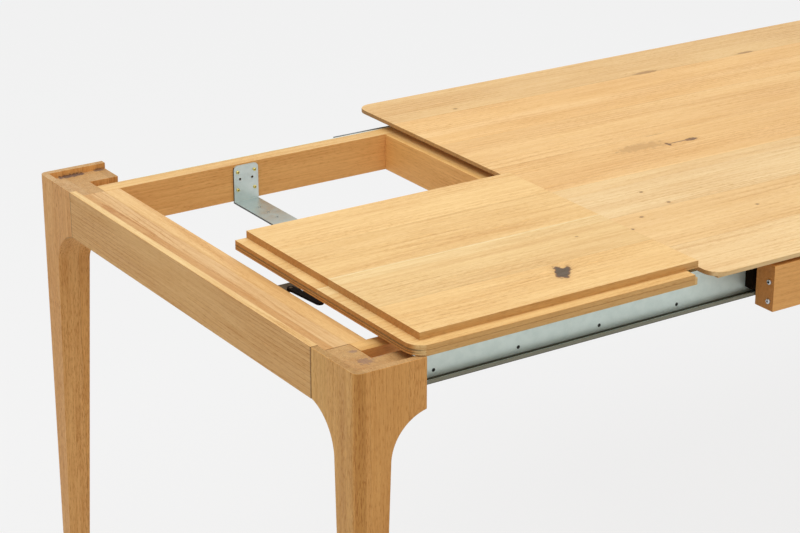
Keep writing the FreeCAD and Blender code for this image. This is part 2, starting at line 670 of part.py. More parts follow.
# where a middle runner starts with its end pushed home; it moves half as far as the end
runnerHomes = {
    "near": f"({railReach} - Dims.midNearHold - {drawOut} / 2)",
    "far": "(Dims.legBlock + Dims.midFarHome)",
}
for end, frame in ends.items():
    caps = []
    for side in sides:
        shown = tableSides[end][side]
        finish(leg(f"{end}_leg_{shown}", side), f"{end}_leg_{shown}", frame)
        finish(sideRail(f"{end}_side_rail_{shown}", side), f"{end}_side_rail_{shown}", frame)
        finish(channel(f"{end}_channel_{shown}", side), f"{end}_channel_{shown}", frame)
        home = runnerHomes[side]
        start = f"({home} + {drawOut} / 2)" if end == "left" else home
        middle = f"{end}_middle_runner_{shown}"
        finish(middleRunner(middle, side, start), middle, frame)
        caps.append(runnerCap(f"{end}_cap_{side}", side, start))
        fixed = f"{end}_fixed_runner_{shown}"
        sideBoard(fixed, topEnds[end], side, fixedXs, (fixedOuter, fixedInner), ribZs)
    finish(group(f"{end}_runner_caps", caps), f"{end}_runner_caps", frame)
    glides = [glide(f"{end}_glide_{side}", side) for side in sides]
    finish(group(f"{end}_floor_glides", glides), f"{end}_floor_glides", frame)
    finish(endApron(f"{end}_end_apron"), f"{end}_end_apron", frame)
    for rail, start, thick in rails:
        railHigh = (f"({start} + {thick})", trayHalf, seat)
        board(f"{end}_{rail}", frame, (start, f"-{trayHalf}", railFoot), railHigh)
    finish(strap(f"{end}_tray_strap"), f"{end}_tray_strap", frame)
    finish(strapScrews(f"{end}_strap_screws"), f"{end}_strap_screws", frame)
    sunk = [screw for side in sides for screw in channelScrews(f"{end}_channel_screw", side)]
    finish(group(f"{end}_channel_screws", sunk), f"{end}_channel_screws", frame)
    finish(lockPlate(f"{end}_lock_plate"), f"{end}_lock_plate", frame)
    finish(lockScrews(f"{end}_lock_screws"), f"{end}_lock_screws", frame)
    pivot = ("Dims.pivotReach", "Dims.pivotOffset", f"{lockTop} + Dims.leverLift")
    finish(lockLever(f"{end}_lock_lever"), f"{end}_lock_lever", frame, pivot,
           FreeCAD.Rotation(FreeCAD.Vector(0, 0, 1), leverAngle))

# One leaf laid out on the drawn end, its twin stowed in the other end's tray
leaf("laid_leaf", leftEnd, "Dims.leafStart", f"-{halfWidth}", coreFoot)
stowX = f"({trayStart} + Dims.trayGap / 2)"
leaf("stowed_leaf", rightEnd, stowX, f"-{halfLeaf} / 2", f"({strapFloor} + Dims.stowGap)")

doc.recompute()
failed = [thing.Name for thing in doc.Objects if {"Invalid", "Error"} & set(thing.State)]
failed += [p.Label for p in pieces if p.Shape.isNull() or not p.Shape.isValid() or not p.Shape.Solids]
if failed:
    raise RuntimeError(f"not built: {failed}")

os.makedirs("parts", exist_ok=True)
for piece in pieces:
    piece.Shape.exportStep(f"parts/{piece.Label}.step")
print(len(pieces), "sub-parts written")
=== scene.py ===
import json
import math
import bmesh
import bpy
from mathutils import Matrix, Vector

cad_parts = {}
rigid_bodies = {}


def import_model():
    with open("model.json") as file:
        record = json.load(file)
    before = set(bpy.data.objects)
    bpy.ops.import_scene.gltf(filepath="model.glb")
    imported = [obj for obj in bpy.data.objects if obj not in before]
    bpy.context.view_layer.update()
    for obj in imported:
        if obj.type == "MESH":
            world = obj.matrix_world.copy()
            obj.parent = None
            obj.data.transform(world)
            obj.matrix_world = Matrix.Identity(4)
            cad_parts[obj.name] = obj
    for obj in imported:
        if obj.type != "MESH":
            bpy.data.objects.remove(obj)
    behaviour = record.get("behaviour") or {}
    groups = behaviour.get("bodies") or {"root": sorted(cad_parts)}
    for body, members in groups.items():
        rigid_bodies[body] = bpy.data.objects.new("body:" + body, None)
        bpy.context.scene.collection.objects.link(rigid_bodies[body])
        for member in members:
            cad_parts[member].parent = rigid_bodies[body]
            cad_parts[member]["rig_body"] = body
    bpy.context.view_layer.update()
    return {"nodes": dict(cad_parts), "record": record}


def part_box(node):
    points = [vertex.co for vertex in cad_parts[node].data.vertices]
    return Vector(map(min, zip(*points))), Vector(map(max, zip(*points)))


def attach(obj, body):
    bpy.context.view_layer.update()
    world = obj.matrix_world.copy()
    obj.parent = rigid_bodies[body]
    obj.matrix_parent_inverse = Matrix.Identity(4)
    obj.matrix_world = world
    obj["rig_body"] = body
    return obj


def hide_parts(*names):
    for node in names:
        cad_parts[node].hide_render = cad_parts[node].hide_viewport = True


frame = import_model()
nodes = frame["nodes"]
scene = bpy.context.scene
scene.view_settings.view_transform = "Standard"
slotOf = {part["node"]: part["material_slot"] for part in frame["record"]["subparts"]}


# Camera, at the photograph's place and angle

cameraSet = {
    "place": (-2.699, -2.866, 2.003),
    "yaw": 56.69,      # degrees from +X towards +Y
    "pitch": 21.4,     # degrees down
    "lens": 102.2,
    "sensor": 36.0,
    "reach": 80,       # nothing is drawn beyond this
}


def makeCamera(s):
    data = bpy.data.cameras.new("photoCamera")
    data.lens = s["lens"]
    data.sensor_width = s["sensor"]
    data.clip_end = s["reach"]
    camera = bpy.data.objects.new("photoCamera", data)
    scene.collection.objects.link(camera)
    camera.location = s["place"]
    camera.rotation_euler = (math.radians(90 - s["pitch"]), 0, math.radians(s["yaw"] - 90))
    scene.camera = camera


makeCamera(cameraSet)
print("camera ready")


# Shader maths: a wire is one socket, and sums on wires add Math nodes

class Wire:
    def __init__(self, paint, socket):
        self.paint = paint
        self.socket = socket

    def maths(self, operation, first, second=0.0):
        sockets = {"Value": first, "Value_001": second}
        return self.paint.node("ShaderNodeMath", {"operation": operation}, sockets)["Value"]

    def __add__(self, other):
        return self.maths("ADD", self, other)

    def __radd__(self, other):
        return self.maths("ADD", other, self)

    def __sub__(self, other):
        return self.maths("SUBTRACT", self, other)

    def __rsub__(self, other):
        return self.maths("SUBTRACT", other, self)

    def __mul__(self, other):
        return self.maths("MULTIPLY", self, other)

    def __truediv__(self, other):
        return self.maths("DIVIDE", self, other)

    def __abs__(self):
        return self.maths("ABSOLUTE", self)

    def floor(self):
        return self.maths("FLOOR", self)

    def sine(self):
        return self.maths("SINE", self)

    def root(self):
        return self.maths("SQRT", self)

    def lower(self, other):
        return self.maths("MINIMUM", self, other)

    def higher(self, other):
        return self.maths("MAXIMUM", self, other)

    def step(self, low, high):
        # 0 at low, 1 at high, eased between
        settings = {"interpolation_type": "SMOOTHSTEP"}
        sockets = {"Value": self, "From Min": low, "From Max": high}
        return self.paint.node("ShaderNodeMapRange", settings, sockets)["Result"]

    def stepFrom(self, base, edge):
        # a step whose low and high are measured from a base
        return self.step(base + edge[0], base + edge[1])


class Paint:
    def __init__(self, name):
        self.material = bpy.data.materials.new(name)
        self.material.use_nodes = True
        self.tree = self.material.node_tree
        self.tree.nodes.clear()

    def node(self, kind, settings=None, sockets=None):
        made = self.tree.nodes.new(kind)
        for key, value in (settings or {}).items():
            setattr(made, key, value)
        for key, value in (sockets or {}).items():
            socket = next(s for s in made.inputs if s.identifier == key)
            if isinstance(value, Wire):
                self.tree.links.new(value.socket, socket)
            else:
                socket.default_value = value
        return {output.identifier: Wire(self, output) for output in made.outputs}

    def axes(self, output):
        # the x, y and z of a texture coordinate
        place = self.node("ShaderNodeTexCoord")[output]
        parts = self.node("ShaderNodeSeparateXYZ", None, {"Vector": place})
        return {axis: parts[axis] for axis in "XYZ"}

    def noise(self, x, y, z, detail=2.0, roughness=0.5):
        place = self.node("ShaderNodeCombineXYZ", None, {"X": x, "Y": y, "Z": z})["Vector"]
        sockets = {"Vector": place, "Scale": 1.0, "Detail": detail, "Roughness": roughness}
        return self.node("ShaderNodeTexNoise", None, sockets)["Fac"]

    def brushed(self, at, along, across, detail=2.0, roughness=0.5):
        # noise with one scale along the table and another across it
        return self.noise(at["X"] * along, at["Y"] * across, at["Z"] * across, detail, roughness)

    def speckle(self, at, scale, detail=2.0, roughness=0.5):
        # noise with the same scale every way
        return self.brushed(at, scale, scale, detail, roughness)

    def mix(self, mask, first, second, blend="MIX"):
        settings = {"data_type": "RGBA", "blend_type": blend}
        sockets = {"Factor_Float": mask, "A_Color": first, "B_Color": second}
        return self.node("ShaderNodeMix", settings, sockets)["Result_Color"]

    def tint(self, colour, amount):
        # a colour times a value
        return self.mix(1.0, colour, amount, "MULTIPLY")

    def relief(self, height, depth):
        sockets = {"Height": height, "Distance": depth, "Strength": 1.0}
        return self.node("ShaderNodeBump", None, sockets)["Normal"]

    def finish(self, sockets):
        shader = self.node("ShaderNodeBsdfPrincipled", None, sockets)["BSDF"]
        self.node("ShaderNodeOutputMaterial", None, {"Surface": shader})
        return self.material


# Oak: glued staves, each cut from its own log, with rings, fibres and pores

oakLook = {
    "honey": (0.740, 0.418, 0.132, 1),
    "pale": (0.790, 0.526, 0.232, 1),
    "streak": (0.560, 0.268, 0.068, 1),
    "halo": (0.540, 0.275, 0.080, 1),
    "pore": (0.74, 0.62, 0.46, 1),   # multiplies the colour in the pores
    "shine": 0.34,
    "lotPale": 0.7,                  # how far the staves differ in paleness
    "figureLeast": 0.15,             # share of the rings that shows outside the patches
    "cloud": 0.32,
    "grainDrop": 0.14,               # taken off the streaks, so that plain wood stays plain
    "staveLeast": 0.92,              # brightness of the darkest stave
    "staveRange": 0.16,
    "fleck": 0.08,
    "poreLeast": 0.20,               # share of the pores that shows everywhere
    "porePatch": 0.30,
    "poreRing": 0.20,
}

oakSurface = {
    "gloss": 0.44,                   # roughness of plain wood, and what is added to it
    "fibreRough": 0.10,
    "poreRough": 0.12,
    "endRough": 0.10,
    "poreDepth": 0.00012,            # depth of the relief, and shares of it
    "poreSink": 0.8,
    "seamSink": 1.2,
    "fibreRise": 0.25,
}

# how a stave sits in its log, and how the log's rings run
logSet = {
    "staveSeed": 1.37,               # step of the seed from stave to stave
    "length": 9,                     # staves come from this many metres of log
    "aside": 2.2,                    # stave widths beside the heart
    "above": 0.05,                   # metres above the heart
    "aboveLeast": 0.018,
    "sway": 0.034,
    "ripple": 0.004,
    "taper": 0.004,
    "knotPush": 0.011,               # how far the rings open round a knot
}

# noises: scales along and across the fibres, and the values where they begin and are full
oakNoise = {
    "sway": {"along": 1.1, "across": 9, "detail": 2.0, "rough": 0.5},
    "ripple": {"along": 5, "across": 40, "detail": 1.0, "rough": 0.5},
    "ragged": {"along": 1, "across": 1, "detail": 3.0, "rough": 0.7},
    "patch": {"along": 3, "across": 16, "detail": 2.0, "rough": 0.5, "edge": (0.38, 0.66), "start": 7},
    "cloud": {"along": 2.2, "across": 18, "detail": 3.0, "rough": 0.55, "edge": (0.28, 0.74)},
    "fleck": {"along": 28, "across": 110, "detail": 2.0, "rough": 0.6, "edge": (0.62, 0.72), "start": 40},
    "fibre": {"along": 5, "across": 120, "detail": 4.0, "rough": 0.62, "edge": (0.30, 0.72)},
    "thin": {"along": 13, "across": 480, "detail": 3.0, "rough": 0.62, "edge": (0.38, 0.70)},
    "pore": {"along": 80, "across": 820, "detail": 2.0, "rough": 0.6, "edge": (0.50, 0.64)},
    "speck": {"along": 260, "across": 260, "detail": 4.0, "rough": 0.7, "edge": (0.40, 0.72)},
}

# knots and stains, measured in reaches from their middle
markLook = {
    "haloReach": 0.40,
    "haloRagged": 0.4,
    "haloEdge": (1.0, 0.2),
    "haloShare": 0.4,
    "rimEdge": (1.32, 1.02),
    "coreEdge": (1.02, 0.90),
    "narrowing": 0.2,
    "biteEdge": (0.2, 1.0),
    "biteWidth": 1.7,
}

# lines and cut ends, in metres or as parts of a unit normal
lineLook = {
    "seamEdge": (0.0007, 0.0001),
    "seamDark": 0.16,
    "endFacing": (0.72, 0.92),
    "speckDark": 0.16,
    "layerEdge": (0.0003, -0.0003),
    "layerFacing": (0.35, 0.80),
    "jointEdge": (-0.0026, -0.0016),
    "jointFacing": (0.8, 0.5),
    "jointDark": 0.45,
    "topFacing": (0.5, 0.8),
}


def depthAxis(grain):
    # the axis that runs neither along nor across the staves
    return next(axis for axis in "XYZ" if axis not in grain)


def woodNoise(paint, kind, place, scale=1):
    n = oakNoise[kind]
    x, y, z = place
    x = x * (n["along"] * scale)
    if "start" in n:
        x = x + n["start"]
    across = n["across"] * scale
    made = paint.noise(x, y * across, z * across, n["detail"], n["rough"])
    return made.step(*n["edge"]) if "edge" in n else made


def markReach(mark, at, along, across, depth):
    # 1 on the outline of a knot or stain, an oval turned in the board's plane
    spot = dict(zip("XYZ", mark["at"]))
    turn = math.radians(mark.get("turn", 0))
    a = at[along] - spot[along]
    b = at[across] - spot[across]
    du = (a * math.cos(turn) + b * math.sin(turn)) / mark["size"][0]
    dv = (b * math.cos(turn) - a * math.sin(turn)) / mark["size"][1]
    dw = (at[depth] - spot[depth]) / mark["deep"]
    if "bite" not in mark:
        return (du * du + dv * dv + dw * dw).root()
    # squarer, narrower at one end, and a bite out of the other leaves two points there
    dv = dv * (1 - du * markLook["narrowing"])
    du2 = du * du
    dv2 = dv * dv
    dw2 = dw * dw
    reach = (du2 * du2 + dv2 * dv2 + dw2 * dw2).root().root()
    middle = (1 - abs(dv) * markLook["biteWidth"]).higher(0.0)
    return reach + du.step(*markLook["biteEdge"]) * middle * mark["bite"]


def oakPaint(name, s):
    look = oakLook
    paint = Paint(name)
    at = paint.axes("Object")
    facing = paint.axes("Normal")
    along, across = s["grain"]
    depth = depthAxis(s["grain"])
    u = at[along]
    v = at[across]
    w = at[depth] - s["level"] - u * s["tilt"]
    cell = v / s["stave"] + s["shift"]
    stave = cell.floor()
    seed = stave * logSet["staveSeed"] + s["seed"]
    luck = paint.node("ShaderNodeTexWhiteNoise", {"noise_dimensions": "1D"}, {"W": seed})
    parts = paint.node("ShaderNodeSeparateColor", None, {"Color": luck["Color"]})
    lot, turn, heart = parts["Red"], parts["Green"], parts["Blue"]

    # place in the log that the stave was cut from
    lengthwise = u + lot * logSet["length"]
    fromHeart = (cell - stave - 0.5) * s["stave"] + (turn - 0.5) * logSet["aside"] * s["stave"]
    deep = w + heart * logSet["above"] + logSet["aboveLeast"]
    inLog = (lengthwise, fromHeart, deep)
    inBoard = (lengthwise, v, w)

    # the rings drift along the log and open round the knots
    sway = woodNoise(paint, "sway", inLog)
    ripple = woodNoise(paint, "ripple", inLog)
    radius = (fromHeart * fromHeart + deep * deep).root()
    radius = radius + (sway - 0.5) * logSet["sway"] + (ripple - 0.5) * logSet["ripple"]
    radius = radius + lengthwise * logSet["taper"]
    marks = []
    for mark in s["marks"]:
        ragged = woodNoise(paint, "ragged", (u, v, w), mark["ragged"]) - 0.5
        reach = markReach(mark, at, along, across, depth)
        edge = reach + ragged * mark["jag"]
        halo = reach * markLook["haloReach"] + ragged * markLook["haloRagged"]
        halo = halo.step(*markLook["haloEdge"])
        radius = radius + halo * logSet["knotPush"] * mark["strength"]
        marks.append((edge, halo, mark))
    ring = (radius * (2 * math.pi / s["pitch"])).sine().step(s["ringEdge"], 1.0)
    patch = woodNoise(paint, "patch", inLog)
    cloud = woodNoise(paint, "cloud", inLog)
    fleck = woodNoise(paint, "fleck", inLog)
    fibre = woodNoise(paint, "fibre", inBoard)
    thin = woodNoise(paint, "thin", inBoard)
    pore = woodNoise(paint, "pore", inBoard)

    # colour of the wood
    colour = paint.mix(s["pale"] + (lot - 0.5) * look["lotPale"], look["honey"], look["pale"])
    figure = ring * (look["figureLeast"] + patch * (1 - look["figureLeast"])) * s["figure"]
    grain = figure + fibre * s["fibre"] + thin * s["thin"] + cloud * look["cloud"] - look["grainDrop"]
    colour = paint.mix(grain, colour, look["streak"])
    bright = look["staveLeast"] + turn * look["staveRange"] + fleck * patch * look["fleck"]
    colour = paint.tint(colour, bright)
    poreShare = look["poreLeast"] + patch * look["porePatch"] + ring * look["poreRing"]
    colour = paint.mix(pore * s["pores"] * poreShare, colour, look["pore"], "MULTIPLY")
    for edge, halo, mark in marks:
        strength = mark["strength"]
        colour = paint.mix(halo * markLook["haloShare"] * strength, colour, look["halo"])
        colour = paint.mix(edge.step(*markLook["rimEdge"]) * strength, colour, mark["rim"])
        colour = paint.mix(edge.step(*markLook["coreEdge"]) * strength, colour, mark["core"])
    for axis, low, high, soft, tone in s["bands"]:
        # staves and streaks that keep their own tone along the board, and bands of painted highlight and
        # painted shade
        wander = at[axis] + (sway - 0.5) * soft * 2
        band = wander.stepFrom(low, (-soft, soft)) * wander.stepFrom(high, (soft, -soft))
        colour = paint.mix(band, colour, tone, "MULTIPLY")

    # glue lines, cut ends, layers and the joint with the leg
    split = cell - stave
    seam = (split.lower(1 - split) * s["stave"]).step(*lineLook["seamEdge"])
    colour = paint.tint(colour, 1 - seam * lineLook["seamDark"])
    cutAcross = abs(facing[along]).step(*lineLook["endFacing"])
    speck = woodNoise(paint, "speck", (u, v, w))
    colour = paint.mix(cutAcross * s["endDark"], colour, s["endGrain"], "MULTIPLY")
    colour = paint.tint(colour, 1 - cutAcross * speck * lineLook["speckDark"])
    for level, half, amount in s["layers"]:
        # dark lines in the board's end where two layers meet; at the fold this is painted shade in the gap
        # between the halves
        line = abs(at["Z"] - level).stepFrom(half, lineLook["layerEdge"])
        line = line * abs(facing["X"]).step(*lineLook["layerFacing"])
        colour = paint.tint(colour, 1 - line * amount)
    if s["joint"]:
        # dark line down the face where the board meets the leg
        line = abs(u).stepFrom(s["joint"], lineLook["jointEdge"])
        line = line * abs(facing["Z"]).step(*lineLook["jointFacing"])
        colour = paint.tint(colour, 1 - line * lineLook["jointDark"])
    # painted sheen: faces that look up take their own tone, mostly paler and bluer
    colour = paint.mix(facing["Z"].step(*lineLook["topFacing"]), colour, s["topTone"], "MULTIPLY")
    colour = paint.mix(1.0, colour, s["tone"], "MULTIPLY")

    touch = oakSurface
    rough = touch["gloss"] + fibre * touch["fibreRough"] + pore * touch["poreRough"]
    rough = rough + cutAcross * touch["endRough"]
    height = 1 - pore * touch["poreSink"] - seam * touch["seamSink"] + fibre * touch["fibreRise"]
    return paint.finish({"Base Color": colour, "Roughness": rough, "Specular IOR Level": look["shine"],
                         "Normal": paint.relief(height, touch["poreDepth"])})


# Zinc on sheet steel, clouded with soft spangles and rubbed along the run

zincLook = {
    "spangle": {"scale": 70, "detail": 3.0, "roughness": 0.6},
    "spangleEdge": (0.32, 0.70),
    "spangleShare": 0.5,              # shares of the deep colour
    "cloud": {"scale": 9},
    "cloudEdge": (0.3, 0.7),
    "cloudShare": 0.3,
    "rub": {"along": 12, "across": 600},
    "rubShare": 0.1,
    "greaseEdge": (0.0052, 0.0032),   # heights above the foot of the track
    "greaseLeast": 0.8,
    "lipEdge": (0.02, 0.01),
    "lipFoot": (0.0016, 0.0008),
    "lipFace": (-0.0012, -0.0006),    # distances from its mouth
    "facing": (0.7, 0.9),
    "spangleRough": 0.10,
    "rubRough": 0.08,
    "rubRise": 0.4,
}


def galvanisedPaint(name, s):
    look = zincLook
    paint = Paint(name)
    at = paint.axes("Object")
    facing = paint.axes("Normal")
    spangle = paint.speckle(at, **look["spangle"]).step(*look["spangleEdge"])
    cloud = paint.speckle(at, **look["cloud"]).step(*look["cloudEdge"])
    rub = paint.brushed(at, **look["rub"])
    share = spangle * look["spangleShare"] + cloud * look["cloudShare"] + rub * look["rubShare"]
    colour = paint.mix(share, s["pale"], s["deep"])
    if "foot" in s:
        # painted shade in the foot of the track, a dull lip, and painted shade along the lip's lower edge
        footShadeBreakup = look["greaseLeast"] + rub * (1 - look["greaseLeast"])
        grease = at["Z"].stepFrom(s["foot"], look["greaseEdge"]) * footShadeBreakup
        colour = paint.mix(grease, colour, s["grease"])
        lip = abs(at["Y"]).stepFrom(s["mouth"], look["lipFace"])
        lip = lip * at["Z"].stepFrom(s["foot"], look["lipEdge"])
        colour = paint.mix(lip, colour, s["lip"])
        lipFoot = lip * at["Z"].stepFrom(s["foot"], look["lipFoot"])
        colour = paint.mix(lipFoot, colour, s["grease"])
    # painted shade: the strap's upward faces darker and bluer, and its edge faces that look along X nearly
    # black
    if "cutEdge" in s:
        colour = paint.mix(facing["Z"].step(*look["facing"]), colour, s["floorTone"], "MULTIPLY")
        colour = paint.mix(abs(facing["X"]).step(*look["facing"]), colour, s["cutEdge"])
    rough = s["rough"] + spangle * look["spangleRough"] + rub * look["rubRough"]
    return paint.finish({"Base Color": colour, "Roughness": rough, "Metallic": s["metal"],
                         "Normal": paint.relief(spangle + rub * look["rubRise"], s["relief"])})


# Dark steel with scuffs and an oily cloud

rolledLook = {
    "cloud": {"scale": 25, "detail": 3.0},
    "cloudEdge": (0.3, 0.75),
    "cloudRough": 0.12,
    "scuff": {"along": 20, "across": 500, "detail": 3.0, "roughness": 0.6},
    "scuffEdge": (0.52, 0.75),
    "scuffShare": 0.5,       # of the colour, and of the relief
    "scuffSmooth": 0.08,
    "relief": 0.00004,
}


def rolledPaint(name, s):
    look = rolledLook
    paint = Paint(name)
    at = paint.axes("Object")
    cloud = paint.speckle(at, **look["cloud"]).step(*look["cloudEdge"])
    scuff = paint.brushed(at, **look["scuff"]).step(*look["scuffEdge"])
    colour = paint.mix(cloud, s["colour"], s["cloud"])
    colour = paint.mix(scuff * look["scuffShare"], colour, s["scuff"])
    rough = s["rough"] + cloud * look["cloudRough"] - scuff * look["scuffSmooth"]
    height = scuff * look["scuffShare"] + cloud
    return paint.finish({"Base Color": colour, "Roughness": rough, "Metallic": s["metal"],
                         "Specular IOR Level": s["shine"], "Normal": paint.relief(height, look["relief"])})


# Plated screws and barrels, with a fine bloom

platedLook = {
    "bloom": {"scale": 900, "detail": 3.0, "roughness": 0.6},
    "bloomEdge": (0.3, 0.7),
    "bloomRough": 0.12,
    "relief": 0.00001,
}


def platedPaint(name, s):
    look = platedLook
    paint = Paint(name)
    at = paint.axes("Object")
    bloom = paint.speckle(at, **look["bloom"]).step(*look["bloomEdge"])
    colour = paint.mix(bloom, s["colour"], s["bloom"])
    rough = s["rough"] + bloom * look["bloomRough"]
    return paint.finish({"Base Color": colour, "Roughness": rough, "Metallic": 1.0,
                         "Normal": paint.relief(bloom, look["relief"])})


# Moulded plastic with a fine even texture

mouldedLook = {
    "dimple": {"scale": 1400},
    "dimpleShare": 0.3,
    "dimpleRough": 0.2,
    "haze": {"scale": 60},
    "hazeEdge": (0.3, 0.7),
    "hazeShare": 0.5,
    "relief": 0.00003,
}


def mouldedPaint(name, s):
    look = mouldedLook
    paint = Paint(name)
    at = paint.axes("Object")
    dimple = paint.speckle(at, **look["dimple"])
    haze = paint.speckle(at, **look["haze"]).step(*look["hazeEdge"])
    share = haze * look["hazeShare"] + dimple * look["dimpleShare"]
    colour = paint.mix(share, s["colour"], s["haze"])
    rough = s["rough"] + dimple * look["dimpleRough"]
    return paint.finish({"Base Color": colour, "Roughness": rough, "Specular IOR Level": s["shine"],
                         "Normal": paint.relief(dimple, look["relief"])})


# Colours of the metals and plastics

strapSet = {
    "pale": (0.66, 0.725, 0.69, 1),
    "deep": (0.58, 0.655, 0.63, 1),
    "metal": 0.8,
    "rough": 0.30,
    "relief": 0.00001,
    "floorTone": (0.82, 0.86, 0.88, 1),
    "cutEdge": (0.085, 0.085, 0.080, 1),
}
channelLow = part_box("left_channel_near")[0]
channelSet = {
    "pale": (0.79, 0.90, 0.85, 1),
    "deep": (0.71, 0.83, 0.79, 1),
    "metal": 0.5,
    "rough": 0.42,
    "relief": 0.00004,
    "foot": channelLow.z,
    "mouth": abs(channelLow.y),
    # painted shade for the foot of the track and the lip's lower edge
    "grease": (0.115, 0.110, 0.080, 1),
    "lip": (0.24, 0.235, 0.175, 1),
}
metalSet = {
    "runner_steel": {"colour": (0.20, 0.205, 0.20, 1), "cloud": (0.11, 0.11, 0.105, 1),
                     "scuff": (0.34, 0.34, 0.32, 1), "rough": 0.34, "metal": 0.9, "shine": 0.5},
    "dark_steel": {"colour": (0.110, 0.068, 0.026, 1), "cloud": (0.052, 0.032, 0.014, 1),
                   "scuff": (0.19, 0.13, 0.06, 1), "rough": 0.5, "metal": 0.2, "shine": 0.2},
    "sunk_screw": {"colour": (0.030, 0.034, 0.032, 1), "cloud": (0.014, 0.015, 0.014, 1),
                   "scuff": (0.10, 0.11, 0.105, 1), "rough": 0.4, "metal": 0.5, "shine": 0.3},
    "zinc": {"colour": (0.66, 0.67, 0.68, 1), "bloom": (0.50, 0.51, 0.52, 1), "rough": 0.22},
    "yellow_zinc": {"colour": (0.78, 0.64, 0.20, 1), "bloom": (0.64, 0.53, 0.16, 1), "rough": 0.34},
    "hinge_brass": {"colour": (0.66, 0.47, 0.18, 1), "bloom": (0.52, 0.36, 0.13, 1), "rough": 0.26},
    "black_plastic": {"colour": (0.0075, 0.0036, 0.0014, 1), "haze": (0.012, 0.0065, 0.003, 1),
                      "rough": 0.5, "shine": 0.03},
}
paints = {
    "strap": galvanisedPaint("galvanisedStrap", strapSet),
    "channel": galvanisedPaint("galvanisedChannel", channelSet),
    "runner_steel": rolledPaint("rolledRunner", metalSet["runner_steel"]),
    "dark_steel": rolledPaint("darkPlate", metalSet["dark_steel"]),
    "sunk_screw": rolledPaint("sunkScrew", metalSet["sunk_screw"]),
    "zinc": platedPaint("zincPlate", metalSet["zinc"]),
    "yellow_zinc": platedPaint("yellowZinc", metalSet["yellow_zinc"]),
    "hinge_brass": platedPaint("hingeBrass", metalSet["hinge_brass"]),
    "black_plastic": mouldedPaint("blackMoulding", metalSet["black_plastic"]),
}
print("metal and plastic paints ready")


# Pieces: each solid's copy with its edges eased, standing for that solid

edgeSet = {
    "weld": 0.00002,
    "flat": math.radians(0.4),      # faces that bend less than this become one
    "corner": math.radians(38),     # edges that bend more than this are eased
    "crease": math.radians(32),     # and more than this stay sharp in the shading
}


def pieceName(node):
    words = node.split("_")
    return words[0] + "".join(word.title() for word in words[1:])


def settle(node, mesh, *coats):
    # the mesh becomes a piece that rides where its node rides
    data = bpy.data.meshes.new(pieceName(node))
    mesh.to_mesh(data)
    mesh.free()
    for face in data.polygons:
        face.use_smooth = True
    data.set_sharp_from_angle(angle=edgeSet["crease"])
    for coat in coats:
        data.materials.append(coat)
    piece = bpy.data.objects.new(pieceName(node), data)
    scene.collection.objects.link(piece)
    weigh = piece.modifiers.new("evenShading", "WEIGHTED_NORMAL")
    weigh.keep_sharp = True
    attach(piece, nodes[node]["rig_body"])
    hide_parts(node)


def easedCopy(node, width, segments):
    mesh = bmesh.new()
    mesh.from_mesh(nodes[node].data)
    bmesh.ops.remove_doubles(mesh, verts=mesh.verts, dist=edgeSet["weld"])
    bmesh.ops.dissolve_limit(mesh, angle_limit=edgeSet["flat"], verts=mesh.verts, edges=mesh.edges)
    paired = [edge for edge in mesh.edges if len(edge.link_faces) == 2]
    sharp = [edge for edge in paired if edge.calc_face_angle() > edgeSet["corner"]]
    bmesh.ops.bevel(mesh, geom=sharp, offset=width, offset_type="OFFSET", affect="EDGES", segments=segments,
                    profile=0.5, material=-1, clamp_overlap=True, loop_slide=True)
    return mesh


# Oak boards: grain says which way the fibres run and which way the staves lie side by side

boardPlain = {
    "pale": 0.20,
    "figure": 0.22,
    "fibre": 0.30,
    "thin": 0.26,
    "pores": 1.0,
    "pitch": 0.0056,      # metres from ring to ring
    "ringEdge": -0.3,
    "tilt": 0.0,
    "joint": 0,           # where the board meets the legs, from its middle
    "endGrain": (0.60, 0.48, 0.34, 1),
    "endDark": 0.85,
    "tone": (1, 1, 1, 1),
    "topTone": (1, 1, 1, 1),
}
boardSet = {
    "main_top": {"grain": "XY", "stave": 0.150, "ease": 0.0011, "figure": 0.34, "shift": 0.5, "pale": 0.72,
                 "pitch": 0.0080, "ringEdge": 0.35, "fibre": 0.20, "thin": 0.16, "pores": 1.1},
    "leaf": {"grain": "XY", "stave": 0.130, "ease": 0.0014, "figure": 0.24, "shift": 0.854, "pale": 0.72,
             "pitch": 0.0075, "ringEdge": 0.35, "fibre": 0.22, "thin": 0.26, "pores": 1.1,
             "endGrain": (0.70, 0.46, 0.24, 1), "tone": (1.02, 1.07, 1.09, 1)},
    "leg": {"grain": "ZX", "stave": 0.064, "ease": 0.0016, "figure": 0.10, "fibre": 0.36, "thin": 0.40,
            "endGrain": (0.76, 0.90, 1.28, 1), "endDark": 1.0, "pores": 2.1,
            "tone": (1.00, 0.89, 0.78, 1)},
    "end_apron": {"grain": "YX", "stave": 0.062, "ease": 0.0012, "figure": 0.55, "pale": 0.64,
                  "tilt": 0.012, "ringEdge": 0.62, "joint": 0.383, "tone": (1.05, 0.99, 0.89, 1),
                  "topTone": (1.01, 1.08, 1.16, 1)},
    "front_rail": {"grain": "YX", "stave": 0.060, "ease": 0.0010, "pale": 0.5},
    "cross_rail": {"grain": "YX", "stave": 0.060, "ease": 0.0010, "tone": (1.20, 1.12, 1.04, 1),
                   "topTone": (0.90, 1.04, 1.22, 1)},
    "tail_rail": {"grain": "YX", "stave": 0.060, "ease": 0.0010},
    "side_rail": {"grain": "XY", "stave": 0.050, "ease": 0.0010, "tone": (1.12, 0.98, 0.84, 1),
                  "topTone": (0.93, 1.14, 1.44, 1)},
    "side_apron": {"grain": "XY", "stave": 0.060, "ease": 0.0012, "tone": (1.14, 1.04, 0.98, 1)},
    "slide_batten": {"grain": "XY", "stave": 0.060, "ease": 0.0010},
    "middle_bearer": {"grain": "YX", "stave": 0.060, "ease": 0.0010},
}
